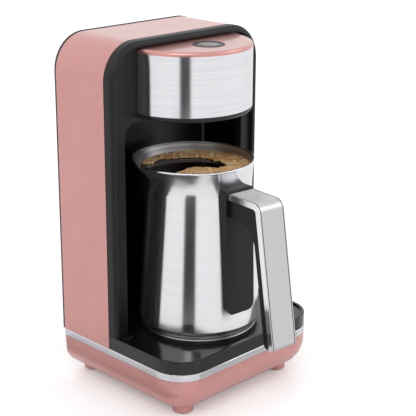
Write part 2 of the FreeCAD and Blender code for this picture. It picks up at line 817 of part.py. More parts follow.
def biarc(p0, t0, p1, t1):
    """Two arcs that leave p0 along t0 and reach p1 along t1."""
    v = p1 - p0
    total = t0 + t1
    lean = 2 * (1 - t0.dot(t1))
    reach = (math.sqrt(v.dot(total) ** 2 + lean * v.dot(v)) - v.dot(total)) / lean
    joint = (p0 + p1 + (t0 - t1) * reach) * 0.5
    arcs = []
    for start, apex, finish in ((p0, p0 + t0 * reach, joint), (joint, p1 - t1 * reach, p1)):
        middle = (start + finish) * 0.5
        half_chord = (finish - start).Length / 2
        rise = apex - middle
        turn = 2 * math.atan(rise.Length / half_chord)
        rise.normalize()
        arcs.append(Part.Arc(start, middle + rise * (half_chord * math.tan(turn / 4)), finish).toShape())
    return arcs


def button_spring():
    """Return spring: one unbroken wire of quarter-turn biarcs, seated in the guide."""
    low = guide_floor_top + spring_wire / 2
    high = cap_top - cap_plate - spring_wire / 2
    steps = 4 * spring_turns
    rise = (high - low) / steps
    run = spring_radius * math.pi / 2
    edges = []
    for i in range(steps):
        ends = []
        for k in (i, i + 1):
            a = k * math.pi / 2
            place = V(spring_radius * math.cos(a), button_y + spring_radius * math.sin(a), low + k * rise)
            along = V(-run * math.sin(a), run * math.cos(a), rise)
            along.normalize()
            ends.append((place, along))
        edges.extend(biarc(ends[0][0], ends[0][1], ends[1][0], ends[1][1]))
    path = Part.Wire(edges)
    start, along = V(spring_radius, button_y, low), V(0, run, rise)
    ring = Part.Wire(Part.Circle(start, along, spring_wire / 2).toShape())
    return path.makePipeShell([ring], True, False)


def switch_board():
    board = box(-switch_board_half, switch_board_half, button_y - switch_board_depth,
                button_y + switch_board_depth, switch_board_top - board_thickness, switch_board_top)
    holes = [post(x, button_y, 0, lid_top, screw_radius + fit) for x in switch_post_x]
    return board.cut(holes)


def switch_screws():
    return [screw(V(x, button_y, switch_board_top - board_thickness), UP, board_screw_length)
            for x in switch_post_x]


def tact_switch():
    half = switch_size / 2
    body = box(-half, half, button_y - half, button_y + half, switch_board_top,
               switch_board_top + switch_body_height)
    plunger = post(0, button_y, switch_board_top, plunger_top, plunger_radius)
    return join(body, plunger)


def buzzer():
    under = switch_board_top - board_thickness
    can = post(buzzer_x, button_y, under - buzzer_height, under, buzzer_radius)
    return can.cut(post(buzzer_x, button_y, under - buzzer_height - 1, under - buzzer_height + 2, 1.2))


def sensor_board():
    half = sensor_board_half
    deep = sensor_board_depth
    return box(-half, half, pot_y - deep, pot_y + deep, sensor_board_level,
               sensor_board_level + board_thickness)


def sensor_lens():
    """Clear lens in the head's floor, looking down into the pot."""
    floor = head_bottom + head_wall
    body = post(0, pot_y, head_bottom, sensor_board_level, lens_radius)
    flange = post(0, pot_y, floor, floor + 1.0, lens_flange)
    bulge = 1.2
    ball = (lens_radius ** 2 + bulge ** 2) / (2 * bulge)
    dome = Part.makeSphere(ball, V(0, pot_y, head_bottom - bulge + ball))
    dome = dome.common(post(0, pot_y, head_bottom - bulge - 1, head_bottom, lens_radius))
    return join(body, flange, dome)


def pot_radius(z):
    """Outer radius of the pot's tapered wall at a level."""
    low = wall_foot + pot_foot_edge
    share = (z - low) / (neck_level - low)
    return pot_foot_radius + (pot_neck_radius - pot_foot_radius) * share


def pot_form(inset):
    """Outside of the pot's sheet drawn in by inset, closed at the rim."""
    foot = pot_foot_radius - inset
    low = wall_foot + inset
    neck = pot_neck_radius - inset
    edge = pot_foot_edge - inset
    side_low = V(foot, 0, wall_foot + pot_foot_edge)
    bend = V(foot - edge * (1 - math.sin(math.pi / 4)), 0, low + edge * (1 - math.sin(math.pi / 4)))
    points = [V(0, 0, low), V(foot - edge, 0, low), side_low, V(neck, 0, neck_level), V(0, 0, neck_level)]
    edges = [Part.LineSegment(points[0], points[1]).toShape(), Part.Arc(points[1], bend, points[2]).toShape(),
             Part.LineSegment(points[2], points[3]).toShape(), Part.LineSegment(points[3], points[4]).toShape(),
             Part.LineSegment(points[4], points[0]).toShape()]
    form = Part.Face(Part.Wire(edges)).revolve(V(0, 0, 0), UP, 360)
    form.translate(V(0, pot_y, 0))
    return form.fuse(mouth_form(inset))


def mouth_form(inset):
    """Mouth above the neck: circles that grow and move towards the pouring lip."""
    wires = []
    for step in range(mouth_sections):
        share = step / (mouth_sections - 1)
        flare = share ** mouth_curve
        centre = V(-mouth_offset * flare, pot_y, neck_level + (rim_level - neck_level) * share)
        radius = pot_neck_radius + (pot_rim_radius - pot_neck_radius) * flare - inset
        wires.append(Part.Wire(Part.Circle(centre, UP, radius).toShape()))
    return Part.makeLoft(wires, True, False)


def spout_form(inset):
    """Pouring lip towards -X: walls tangent to the rim that meet in a rounded beak."""
    low = rim_level - spout_depth
    rim = pot_rim_radius - inset
    reach = spout_reach - inset
    spread = math.acos(rim / (reach - mouth_offset))
    flank = (-mouth_offset - rim * math.cos(spread), rim * math.sin(spread))
    root = pot_neck_radius - spout_root - inset
    sunk = pot_neck_radius - spout_sink
    high_wire = corner_wire([(-reach, pot_y, spout_tip_radius), (flank[0], pot_y - flank[1], 1.5),
                             (-sunk, pot_y, 12), (flank[0], pot_y + flank[1], 1.5)], plan(rim_level))
    low_wire = corner_wire([(-root, pot_y, spout_tip_radius), (-root + 4, pot_y - flank[1] / 2, 1.5),
                            (-sunk, pot_y, 12), (-root + 4, pot_y + flank[1] / 2, 1.5)], plan(low))
    return Part.makeLoft([low_wire, high_wire], True, True)


def pot_outside():
    return join(pot_form(0), spout_form(0))


def pot_body():
    inside = join(pot_form(pot_wall), spout_form(pot_wall))
    lift = post(0, pot_y, rim_level - 0.01, rim_level + 9, pot_rim_radius + 20)
    body = pot_outside().cut(inside).cut(lift)
    bead = Part.makeTorus(pot_rim_radius - rim_bead, rim_bead,
                          V(-mouth_offset, pot_y, rim_level - rim_bead), UP)
    mouth = spout_form(pot_wall)
    return join(body, bead.cut(join(mouth, pot_form(pot_wall)).common(
        box(-spout_reach, -pot_rim_radius * 0.9, -2 * pot_rim_radius, pot_rim_radius, 0, rim_level + 5))))


def pot_base_disc():
    disc = post(0, pot_y, pot_bottom, wall_foot, pot_disc_radius)
    return disc.makeChamfer(0.6, edges_at(disc, lambda p: near(p.z, pot_bottom)))


def handle_edge(depth, start_y):
    """Outer line of the handle drawn in by depth: start over the bracket, elbow and foot."""
    fall = handle_top_fall / (handle_elbow - handle_start)
    lean = handle_lean
    level = handle_top - depth * math.hypot(1, fall)
    elbow_z = handle_top - handle_top_fall
    reach = handle_elbow - depth * math.hypot(1, lean)
    z = (level + fall * (handle_start - reach - lean * elbow_z)) / (1 - fall * lean)
    y = pot_y - reach - lean * (elbow_z - z)
    foot_y = pot_y - reach - lean * (elbow_z - handle_foot)
    return (start_y, level + fall * (start_y - pot_y + handle_start)), (y, z), (foot_y, handle_foot)


def bracket_front(z):
    """Front face of the bracket at a level: it stands steeper than the pot's wall."""
    low = pot_y - pot_radius(bracket_low) - bracket_proud_low
    high = pot_y - pot_radius(bracket_high) - bracket_proud_high
    return low + (high - low) * (z - bracket_low) / (bracket_high - bracket_low)


def handle_bracket():
    """Plate that hugs the pot's wall and carries the bridge of the handle."""
    low = bracket_low
    high = bracket_high
    deep = 17.0
    slab = side_prism([(bracket_front(low), low, 2), (bracket_front(low) + deep, low, 0),
                       (bracket_front(high) + deep, high, 0), (bracket_front(high), high, 2)], bracket_half)
    outline = front_prism([(-bracket_half, low, bracket_corner), (bracket_half, low, bracket_corner),
                           (bracket_half, high, 2), (-bracket_half, high, 2)], -120, 0)
    stud_room = rod_y(0, handle_screw_level, pot_y - stud_end - fit, pot_y, stud_radius + fit)
    hole = rod_y(0, handle_screw_level, pot_y - 90, pot_y, screw_radius + fit)
    return slab.common(outline).cut([pot_form(0), stud_room, hole])


def handle_stud():
    """Threaded stud welded to the pot's wall behind the bracket."""
    stud = rod_y(0, handle_screw_level, pot_y - stud_end, pot_y, stud_radius).cut(pot_form(0))
    return stud.cut(rod_y(0, handle_screw_level, pot_y - 90, pot_y - stud_end + stud_pilot,
                          screw_radius + 0.02))


def handle_screw():
    return screw(V(0, pot_y - handle_screw_seat, handle_screw_level), V(0, 1, 0), handle_screw_length)


def handle_core():
    start, elbow, foot = handle_edge(cover_wall + 0.05, pot_y - pot_neck_radius)
    inner_y = pot_y - handle_inner_elbow
    inner_foot = inner_y - handle_inner_lean * (handle_under - handle_foot)
    core = side_prism([(start[0], start[1], 0), (elbow[0], elbow[1], handle_elbow_radius - cover_wall),
                       (foot[0], foot[1], 3.2), (inner_foot, foot[1], 3.2),
                       (inner_y, handle_under, handle_inner_radius),
                       (start[0], handle_under, 0)], handle_half - cover_wall - 0.1)
    core = core.cut(join(handle_bracket_block(), pot_form(0)))
    seat = rod_y(0, handle_screw_level, pot_y - 120, pot_y - handle_screw_seat, screw_head_radius + fit * 2)
    hole = rod_y(0, handle_screw_level, pot_y - 120, 0, screw_radius + fit)
    return core.cut([seat, hole])


def handle_bracket_block():
    """Space of the bracket, which the bridge of the handle butts against."""
    return side_prism([(bracket_front(bracket_low), bracket_low, 0), (pot_y, bracket_low, 0),
                       (pot_y, bracket_high, 0), (bracket_front(bracket_high), bracket_high, 0)],
                      bracket_half + 1)


def handle_cover():
    """Bright channel over the bridge and the grip, with a lip down each side."""
    tip_y = bracket_front(handle_top - cover_lip) - fit
    start, elbow, foot = handle_edge(0, tip_y)
    lip_start, lip_elbow, lip_foot = handle_edge(cover_lip, tip_y)
    outer = side_prism([(start[0], start[1], 2.0), (elbow[0], elbow[1], handle_elbow_radius),
                        (foot[0], foot[1], 3.0), (lip_foot[0], lip_foot[1], 0.6),
                        (lip_elbow[0], lip_elbow[1], handle_elbow_radius - cover_lip),
                        (lip_start[0], lip_start[1], 2.0)], handle_half)
    in_start, in_elbow, in_foot = handle_edge(cover_wall, pot_y)
    far_start, far_elbow, far_foot = handle_edge(3 * cover_lip, pot_y)
    room = side_prism([(in_start[0], in_start[1], 0), (in_elbow[0], in_elbow[1], handle_elbow_radius - cover_wall),
                       (in_foot[0], in_foot[1] + cover_wall, 2.2), (in_foot[0] + 9, in_foot[1] - 9, 0),
                       (far_foot[0], far_foot[1] - 9, 0), (far_elbow[0], far_elbow[1], 0),
                       (far_start[0], far_start[1], 0)], handle_half - cover_wall)
    return outer.cut(room)


def compound(shapes):
    return Part.makeCompound(shapes)


def turned(shape):
    """The pot as it stands on its plate, turned a little about its own axis."""
    shape = shape.copy()
    shape.rotate(V(0, pot_y, 0), UP, pot_turn)
    return shape


def write(name, shape):
    shape = shape.copy()
    shape.translate(row_shift)
    shape.exportStep("parts/" + name + ".step")


front_most = turned(handle_cover()).optimalBoundingBox(False).YMin
rear_most = back_y + band_proud
row_shift = V(0, -(front_most + rear_most) / 2, 0)

os.makedirs("parts", exist_ok=True)
names = ["front_left", "rear_left", "front_right", "rear_right"]
for name, (x, y) in zip(names, foot_places):
    write("foot_pad_" + name, foot_pad(x, y))
write("base_shell", base_shell())
write("base_trim_band", base_trim_band())
write("base_top", base_top())
write("base_screws", compound(base_screws()))
write("hot_plate", hot_plate())
write("plate_seal", plate_seal())
write("heating_element", heating_element())
write("element_clamp", element_clamp())
write("clamp_screws", compound(clamp_screws()))
write("thermal_cutout", thermal_cutout())
write("power_board", power_board())
write("board_screws", compound(board_screws()))
write("power_relay", block_on_board(relay_size, *relay_place))
write("transformer", transformer())
write("terminal_block", terminal_block())
write("filter_capacitor", filter_capacitor())
write("outer_shell", outer_shell())
write("back_panel", back_panel())
write("panel_screws", compound(panel_screws()))
write("cord_grommet", cord_grommet())
write("front_frame", front_frame())
write("niche_liner", niche_liner())
write("head_housing", head_housing())
write("head_screws", compound(head_screws()))
write("steel_band", steel_band())
write("head_lid", head_lid())
write("button_bezel", button_bezel())
write("button_guide", button_guide())
write("button_cap", button_cap())
write("button_spring", button_spring())
write("switch_board", switch_board())
write("switch_screws", compound(switch_screws()))
write("tact_switch", tact_switch())
write("buzzer", buzzer())
write("sensor_board", sensor_board())
write("sensor_lens", sensor_lens())
write("pot_body", turned(pot_body()))
write("pot_base_disc", turned(pot_base_disc()))
write("handle_bracket", turned(handle_bracket()))
write("handle_stud", turned(handle_stud()))
write("handle_screw", turned(handle_screw()))
write("handle_core", turned(handle_core()))
write("handle_cover", turned(handle_cover()))
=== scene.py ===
import json
import math
import random

import bmesh
import bpy
from mathutils import Matrix, Vector, noise


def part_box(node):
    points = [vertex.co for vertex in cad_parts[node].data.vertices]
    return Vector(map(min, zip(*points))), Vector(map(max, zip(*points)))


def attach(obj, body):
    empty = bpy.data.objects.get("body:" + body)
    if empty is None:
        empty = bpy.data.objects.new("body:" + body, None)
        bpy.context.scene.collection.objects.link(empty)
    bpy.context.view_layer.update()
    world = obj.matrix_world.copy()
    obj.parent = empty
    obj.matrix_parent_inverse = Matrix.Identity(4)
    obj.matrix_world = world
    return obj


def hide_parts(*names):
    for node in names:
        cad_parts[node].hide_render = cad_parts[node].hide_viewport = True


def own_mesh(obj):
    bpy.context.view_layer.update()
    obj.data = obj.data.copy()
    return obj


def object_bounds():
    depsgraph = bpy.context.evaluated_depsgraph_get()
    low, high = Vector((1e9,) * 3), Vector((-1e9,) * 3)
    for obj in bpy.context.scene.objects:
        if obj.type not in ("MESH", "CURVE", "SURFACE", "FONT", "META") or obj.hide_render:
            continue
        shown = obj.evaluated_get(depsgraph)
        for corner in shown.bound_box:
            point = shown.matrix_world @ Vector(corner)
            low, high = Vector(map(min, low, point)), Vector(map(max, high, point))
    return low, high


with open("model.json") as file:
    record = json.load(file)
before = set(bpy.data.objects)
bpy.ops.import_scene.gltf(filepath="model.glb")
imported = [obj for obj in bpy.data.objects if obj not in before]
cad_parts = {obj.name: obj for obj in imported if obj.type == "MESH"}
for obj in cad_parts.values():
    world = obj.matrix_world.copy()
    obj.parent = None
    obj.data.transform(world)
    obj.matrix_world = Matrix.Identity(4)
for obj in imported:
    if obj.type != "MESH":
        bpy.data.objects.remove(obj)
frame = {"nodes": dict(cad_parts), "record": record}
cad_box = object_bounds()

# The studio: a flat white floor in a white room, one broad soft lamp from the upper left
# and a weaker one from the right. Two dark upright cards and two pale strips on the floor
# show only in reflections. The lens looks down a little.
MM = 0.001
seam_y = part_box("outer_shell")[0].y
view_azimuth = math.radians(-45.27)
view_elevation = math.radians(18.42)
view_roll = math.radians(0.35)
view_distance = 923.4 * MM
view_target = Vector((15.18 * MM, seam_y - 15.26 * MM, 137.5 * MM))
sensor_width = 36.0
lens_length = 100.62
floor_reach = 6.0
pot_card_place = Vector((-215 * MM, seam_y - 137 * MM, 0))
pot_card_azimuth = math.radians(-63.0)
pot_card_half = 46 * MM
pot_card_top = 148 * MM
head_card_place = Vector((-201 * MM, seam_y - 195 * MM, 0))
head_card_azimuth = math.radians(-46.0)
head_card_half = 40 * MM
head_card_low = 152 * MM
head_card_top = 262 * MM
card_tone = 8
card_weave = 8
shade_tone = 205
shade_near = 5 * MM
shade_far = 52 * MM
shade_corner = 34 * MM
shade_level = 0.3 * MM
key_place = (-1.5, -0.9, 1.9)
key_size = 1.4
key_level = 11.0
fill_place = (1.3, -1.2, 1.1)
fill_size = 1.2
fill_level = key_level * 0.35
room_level = 0.86


def tint(red, green, blue):
    """A colour as seen on a screen, 0 to 255, as the linear colour a shader takes."""
    def linear(value):
        share = value / 255
        return share / 12.92 if share <= 0.04045 else ((share + 0.055) / 1.055) ** 2.4
    return (linear(red), linear(green), linear(blue), 1.0)


class Wire:
    """One socket of a finish. Sums on wires add the nodes that work them out."""

    def __init__(self, tree, socket=None):
        self.tree = tree
        self.socket = socket

    def node(self, kind, settings=None, inputs=None, output=0):
        """Any other node: its kind, its settings first, then its sockets' values or links."""
        made = self.tree.nodes.new("ShaderNode" + kind)
        for name, value in (settings or {}).items():
            setattr(made, name, value)
        for name, value in (inputs or {}).items():
            if isinstance(value, Wire):
                self.tree.links.new(value.socket, made.inputs[name])
            else:
                made.inputs[name].default_value = value
        return Wire(self.tree, made.outputs[output])

    def worked(self, operation, second=0.0):
        return self.node("Math", {"operation": operation}, {0: self, 1: second})

    def __add__(self, other):
        return self.worked("ADD", other)

    __radd__ = __add__

    def __mul__(self, other):
        return self.worked("MULTIPLY", other)

    __rmul__ = __mul__

    def __sub__(self, other):
        return self.worked("SUBTRACT", other)

    def __rsub__(self, other):
        return self * -1.0 + other

    def __pow__(self, other):
        return self.worked("POWER", other)

    def __abs__(self):
        return self.worked("ABSOLUTE")

    def rising(self, low, high):
        """0 below low, 1 above high and a smooth slope between."""
        return self.node("MapRange", {"interpolation_type": "SMOOTHSTEP"},
                         {"Value": self, "From Min": low, "From Max": high})

    def blend(self, first, second):
        """Colour that goes from first to second as this wire goes from 0 to 1."""
        return self.node("Mix", {"data_type": "RGBA"}, {0: self, 6: first, 7: second}, 2)


class Finish:
    """A new material: its shader, its wires and the place of each point on the object."""

    def __init__(self, name, **constants):
        self.material = bpy.data.materials.new(name)
        self.material.use_nodes = True
        tree = self.material.node_tree
        tree.nodes.clear()
        self.start = Wire(tree)
        self.shader = tree.nodes.new("ShaderNodeBsdfPrincipled")
        self.output = tree.nodes.new("ShaderNodeOutputMaterial")
        tree.links.new(self.shader.outputs[0], self.output.inputs[0])
        self.place = self.start.node("TexCoord", output=3)
        for socket, value in constants.items():
            self.shader.inputs[socket.replace("_", " ")].default_value = value

    def set(self, socket, wire):
        self.material.node_tree.links.new(wire.socket, self.shader.inputs[socket])

    def axis(self, index):
        return self.start.node("SeparateXYZ", inputs={0: self.place}, output=index)

    def grain(self, per_mm, stretch=(1, 1, 1), detail=2.0, rough=0.5):
        """Noise with so many features to the millimetre, drawn out along the small axes."""
        scale = Vector(stretch) * (per_mm / MM)
        placed = self.start.node("VectorMath", {"operation": "MULTIPLY"},
                                 {0: self.place, 1: tuple(scale)})
        return self.start.node("TexNoise", inputs={"Vector": placed, "Scale": 1.0, "Detail": detail,
                                                   "Roughness": rough})

    def cells(self, per_mm, output=0):
        """Cells with so many to the millimetre: distance from their middle, or their own colour."""
        return self.start.node("TexVoronoi", inputs={"Vector": self.place, "Scale": per_mm / MM},
                               output=output)

    def bump(self, height, strength, depth_mm):
        """Raises the surface by height, a wire from 0 to 1, of so many millimetres."""
        made = self.start.node("Bump", inputs={"Height": height, "Strength": strength,
                                               "Distance": depth_mm * MM})
        self.set("Normal", made)


def dress(finish, *nodes):
    """Gives a finish to pieces of the machine whose own shape is right."""
    for name in nodes:
        slots = frame["nodes"][name].data.materials
        slots.clear()
        slots.append(finish.material)


def new_piece(name, mesh, finish, body):
    """A piece made here, which moves with one body of the machine."""
    piece = bpy.data.objects.new(name, mesh)
    bpy.context.scene.collection.objects.link(piece)
    mesh.materials.append(finish.material)
    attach(piece, body)
    return piece


def studio_camera():
    back = Vector((math.sin(view_azimuth) * math.cos(view_elevation),
                   -math.cos(view_azimuth) * math.cos(view_elevation), math.sin(view_elevation)))
    turn = back.to_track_quat("Z", "Y").to_matrix().to_4x4()
    lens = bpy.data.cameras.new("photo_lens")
    lens.sensor_width = sensor_width
    lens.lens = lens_length
    lens.clip_start = 0.01
    camera = bpy.data.objects.new("photo_camera", lens)
    camera.matrix_world = (Matrix.Translation(view_target + back * view_distance) @ turn
                           @ Matrix.Rotation(view_roll, 4, "Z"))
    bpy.context.scene.collection.objects.link(camera)
    bpy.context.scene.camera = camera


def studio_room():
    room = bpy.data.worlds.new("white_room")
    room.use_nodes = True
    tree = room.node_tree
    tree.nodes.clear()
    start = Wire(tree)
    rays = [start.node("LightPath", output=name) for name in ("Is Camera Ray", "Is Glossy Ray",
                                                               "Is Transmission Ray")]
    seen = (rays[0] + rays[1] + rays[2]).worked("MINIMUM", 1.0)
    strength = seen * (1.0 - room_level) + room_level
    light = start.node("Background", inputs={"Color": (1.0, 1.0, 1.0, 1.0), "Strength": strength})
    output = tree.nodes.new("ShaderNodeOutputWorld")
    tree.links.new(light.socket, output.inputs[0])
    bpy.context.scene.world = room


def studio_floor():
    mesh = bpy.data.meshes.new("studio_floor")
    shape = bmesh.new()
    bmesh.ops.create_grid(shape, x_segments=2, y_segments=2, size=floor_reach)
    shape.to_mesh(mesh)
    shape.free()
    floor = bpy.data.objects.new("studio_floor", mesh)
    bpy.context.scene.collection.objects.link(floor)
    paper = Finish("studio_paper", Specular_IOR_Level=0.35, Emission_Strength=1.0)
    cloud = paper.grain(0.004, detail=1.0)
    paper.set("Base Color", cloud.blend(tint(250, 250, 251), tint(253, 253, 254)))
    paper.set("Roughness", 0.26 + cloud * 0.06)
    seen = paper.start.node("LightPath", output="Is Camera Ray")
    paper.set("Emission Color", seen.blend(tint(0, 0, 0), tint(128, 128, 128)))
    mesh.materials.append(paper.material)


def studio_lamp(name, place, size, level):
    light = bpy.data.lights.new(name, "AREA")
    light.shape = "DISK"
    light.size = size
    light.energy = level
    lamp = bpy.data.objects.new(name, light)
    lamp.location = place
    lamp.rotation_mode = "QUATERNION"
    lamp.rotation_quaternion = (Vector(place) - view_target).to_track_quat("Z", "Y")
    bpy.context.scene.collection.objects.link(lamp)


def studio_card(name, tone, corners):
    """Cloth on a frame that is seen only in the reflections of glossy pieces."""
    mesh = bpy.data.meshes.new(name)
    mesh.from_pydata([tuple(corner) for corner in corners], [], [(0, 1, 2, 3)])
    card = bpy.data.objects.new(name, mesh)
    bpy.context.scene.collection.objects.link(card)
    cloth = Finish(name + "_cloth", Roughness=0.9, Specular_IOR_Level=0.1)
    weave = cloth.grain(1.0).rising(0.2, 0.8)
    woven = tone + card_weave
    cloth.set("Base Color", weave.blend(tint(tone, tone, tone), tint(woven, woven, woven)))
    mesh.materials.append(cloth.material)
    card.visible_camera = False
    card.visible_diffuse = False
    card.visible_shadow = False


def upright_card(name, place, azimuth, half, low, top):
    """Dark card that faces the machine, as wide as the stripe that it makes in the steel."""
    along = Vector((math.cos(azimuth), math.sin(azimuth), 0)) * half
    corners = [place - along + Vector((0, 0, low)), place + along + Vector((0, 0, low)),
               place + along + Vector((0, 0, top)), place - along + Vector((0, 0, top))]
    studio_card(name, card_tone, corners)


def floor_shades():
    """Strips beside and before the tray that its curved underside mirrors as a shade."""
    left = cad_box[0].x
    right = cad_box[1].x
    front = cad_box[0].y
    back = cad_box[1].y
    beside = [(left - shade_near, front + shade_corner), (left - shade_far, front + shade_corner * 2),
              (left - shade_far, back + shade_far), (left - shade_near, back + shade_far)]
    before = [(left + shade_corner, front - shade_near), (left + shade_corner * 2, front - shade_far),
              (right + shade_far, front - shade_far), (right + shade_far, front - shade_near)]
    studio_card("side_shade", shade_tone, [Vector((x, y, shade_level)) for x, y in beside])
    studio_card("front_shade", shade_tone, [Vector((x, y, shade_level)) for x, y in before])


studio_camera()
studio_room()
studio_floor()
upright_card("pot_card", pot_card_place, pot_card_azimuth, pot_card_half, 0, pot_card_top)
upright_card("head_card", head_card_place, head_card_azimuth, head_card_half, head_card_low, head_card_top)
floor_shades()
studio_lamp("key_lamp", key_place, key_size, key_level)
studio_lamp("fill_lamp", fill_place, fill_size, fill_level)
bpy.context.scene.view_settings.view_transform = "Standard"

# Feet: four moulded rubber pads pressed into round stubs under the tray. The rubber is
# matt and picks up fine dust and scuffs where it stands. The grommet is of the same rubber.
rubber_dark = tint(44, 43, 44)
rubber_worn = tint(70, 68, 68)


def rubber_finish(name):
    rubber = Finish(name, Specular_IOR_Level=0.3)
    scuff = rubber.grain(0.35, detail=4.0).rising(0.45, 0.7)
    rubber.set("Base Color", scuff.blend(rubber_dark, rubber_worn))
    rubber.set("Roughness", 0.78 + scuff * 0.15)
    rubber.bump(rubber.grain(3.0), 0.4, 0.06)
    return rubber


dress(rubber_finish("pad_rubber"), "foot_pad_front_left", "foot_pad_front_right",
      "foot_pad_rear_left", "foot_pad_rear_right", "cord_grommet")

# Tray, column shell and head lid: moulded shells sprayed with a rose metallic lacquer
# under a clear coat. The flakes are finer than a millimetre and lie a little uneven.
rose_mid = tint(210, 150, 145)
rose_pale = tint(228, 184, 180)
rose_deep = tint(192, 128, 122)
cloud_share = 0.16
rose_cloud = tuple(mid + (deep - mid) * cloud_share for mid, deep in zip(rose_mid, rose_deep))


def lacquer_finish():
    lacquer = Finish("rose_lacquer", Metallic=0.88, Coat_Roughness=0.09)
    flake = lacquer.cells(2.6, output=1)
    flake_share = lacquer.start.node("SeparateXYZ", inputs={0: flake}, output=0)
    cloud = lacquer.grain(0.03, detail=3.0).rising(0.3, 0.7)
    toned = cloud.blend(rose_mid, rose_cloud)
    sparkle = flake_share.rising(0.72, 1.0) * 0.30
    lacquer.set("Base Color", sparkle.blend(toned, rose_pale))
    lacquer.set("Roughness", 0.27 + flake_share * 0.10 + cloud * 0.04)
    lacquer.set("Coat Weight", 0.55 + lacquer.grain(0.012, detail=1.0) * 0.25)
    lacquer.bump(lacquer.grain(0.7, detail=2.0), 0.12, 0.05)
    return lacquer


dress(lacquer_finish(), "base_shell", "outer_shell", "head_lid")

# Trim band: an extruded strip bent round the base, plated bright, with faint draw lines
# along it and a thin haze of tarnish in patches.
plate_bright = tint(222, 221, 226)
plate_dull = tint(186, 184, 190)


def plated_finish():
    plated = Finish("bright_plating", Metallic=1.0)
    lines = plated.grain(0.05, stretch=(1, 1, 60), detail=3.0)
    haze = plated.grain(0.04, detail=4.0).rising(0.4, 0.75)
    plated.set("Base Color", (lines.rising(0.3, 0.7) * 0.35 + haze * 0.25).blend(plate_bright, plate_dull))
    plated.set("Roughness", 0.10 + lines * 0.10 + haze * 0.05)
    plated.bump(lines, 0.10, 0.03)
    return plated


dress(plated_finish(), "base_trim_band")

# Deck and niche: black mouldings, the deck polished so that it mirrors the pot and the
# niche duller, its black painted darker than the deck's as shade in the recess. Wiping
# leaves long soft smears in the gloss.
gloss_black = tint(14, 14, 15)
gloss_smear = tint(24, 24, 26)
# The niche colours are painted darker than the deck's: painted shade in the recess, over a black moulding.
niche_shaded_black = tint(5, 5, 6)
niche_shaded_smear = tint(11, 11, 12)


def gloss_finish(name, ground, smear, low_gloss, coat):
    gloss = Finish(name, Coat_Roughness=0.04, Specular_IOR_Level=0.35)
    wiped = gloss.grain(0.02, stretch=(1, 1, 0.15), detail=4.0).rising(0.42, 0.78)
    dust = gloss.cells(0.9).rising(0.0, 0.16)
    gloss.set("Base Color", wiped.blend(ground, smear))
    gloss.set("Roughness", low_gloss + wiped * 0.08 + (1.0 - dust) * 0.10)
    gloss.set("Coat Weight", coat - wiped * coat * 0.6)
    gloss.bump(gloss.grain(0.12, detail=1.0), 0.08, 0.05)
    return gloss


dress(gloss_finish("deck_gloss", gloss_black, gloss_smear, 0.16, 0.30), "base_top")
dress(gloss_finish("niche_gloss", niche_shaded_black, niche_shaded_smear, 0.30, 0.0), "niche_liner")

# Hot plate: a turned aluminium disc in the deck, with the cutter's rings still on it
# and a darker heated middle. A silicone ring seals it to the ledge below. The sole of the
# pot that stands on it is turned in the same way.
plate_low, plate_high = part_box("hot_plate")
plate_centre = (plate_low + plate_high) / 2
turned_metal = tint(196, 196, 198)
heated_metal = tint(150, 142, 132)
plate_heated = 40 * MM
sole_heated = 30 * MM


def ring_distance(finish, centre):
    """Distance of each point from an upright axis, in metres."""
    across = finish.axis(0) - centre.x
    along = finish.axis(1) - centre.y
    return (across * across + along * along) ** 0.5


def turned_finish(name, centre, pitch_mm, bright, dark, dark_radius):
    turned = Finish(name, Metallic=1.0)
    radius = ring_distance(turned, centre)
    rings = (radius * (math.tau / (pitch_mm * MM))).worked("SINE") * 0.5 + 0.5
    uneven = turned.grain(0.25, detail=3.0)
    # On the plate and the pot's sole the darker middle is a heat tint; on the button bezel the same slope
    # leaves the ring's outside paler, a painted highlight.
    darker_share = 1.0 - radius.rising(dark_radius * 0.5, dark_radius)
    turned.set("Base Color", (darker_share * 0.6 + uneven * 0.2).blend(bright, dark))
    turned.set("Roughness", 0.24 + rings * 0.12 + uneven * 0.10)
    turned.bump(rings * uneven, 0.35, 0.04)
    return turned


dress(turned_finish("turned_plate", plate_centre, 1.1, turned_metal, heated_metal, plate_heated), "hot_plate")
dress(turned_finish("pot_sole", plate_centre, 0.9, turned_metal, heated_metal, sole_heated), "pot_base_disc")
dress(rubber_finish("plate_silicone"), "plate_seal")

# Heater below the plate: a sheathed ring element with straw and blue heat tints, held
# up by a zinc-plated strip, with a disc thermostat in the middle.
sheath_straw = tint(150, 128, 96)
sheath_blue = tint(92, 96, 118)
zinc_light = tint(182, 184, 186)
zinc_dark = tint(132, 134, 138)


def sheath_finish():
    sheath = Finish("element_sheath", Metallic=1.0)
    darker_share = sheath.grain(0.06, detail=2.0).rising(0.35, 0.65)
    drawn = sheath.grain(0.6, stretch=(1, 1, 0.2), detail=3.0)
    sheath.set("Base Color", darker_share.blend(sheath_straw, sheath_blue))
    sheath.set("Roughness", 0.32 + drawn * 0.25)
    sheath.bump(drawn, 0.3, 0.04)
    return sheath


def zinc_finish():
    """Zinc plating: large soft crystals with a dull bloom over them."""
    zinc = Finish("zinc_plating", Metallic=1.0)
    crystal = zinc.start.node("SeparateXYZ", inputs={0: zinc.cells(0.35, output=1)}, output=1)
    bloom = zinc.grain(0.5, detail=4.0)
    zinc.set("Base Color", (crystal * 0.6 + bloom * 0.4).blend(zinc_light, zinc_dark))
    zinc.set("Roughness", 0.28 + crystal * 0.16 + bloom * 0.10)
    zinc.bump(bloom, 0.15, 0.03)
    return zinc


zinc = zinc_finish()
dress(sheath_finish(), "heating_element")
dress(zinc, "element_clamp", "thermal_cutout", "clamp_screws", "base_screws", "board_screws", "panel_screws",
      "head_screws", "switch_screws", "handle_stud", "handle_screw")

# Circuit boards: glass laminate under green solder mask. Copper runs show through it as
# paler straight tracks that turn at right angles.
mask_green = tint(22, 78, 46)
track_green = tint(48, 118, 74)
track_gap = 0.7 * MM
track_length = 11 * MM
track_pitch = 3.2 * MM


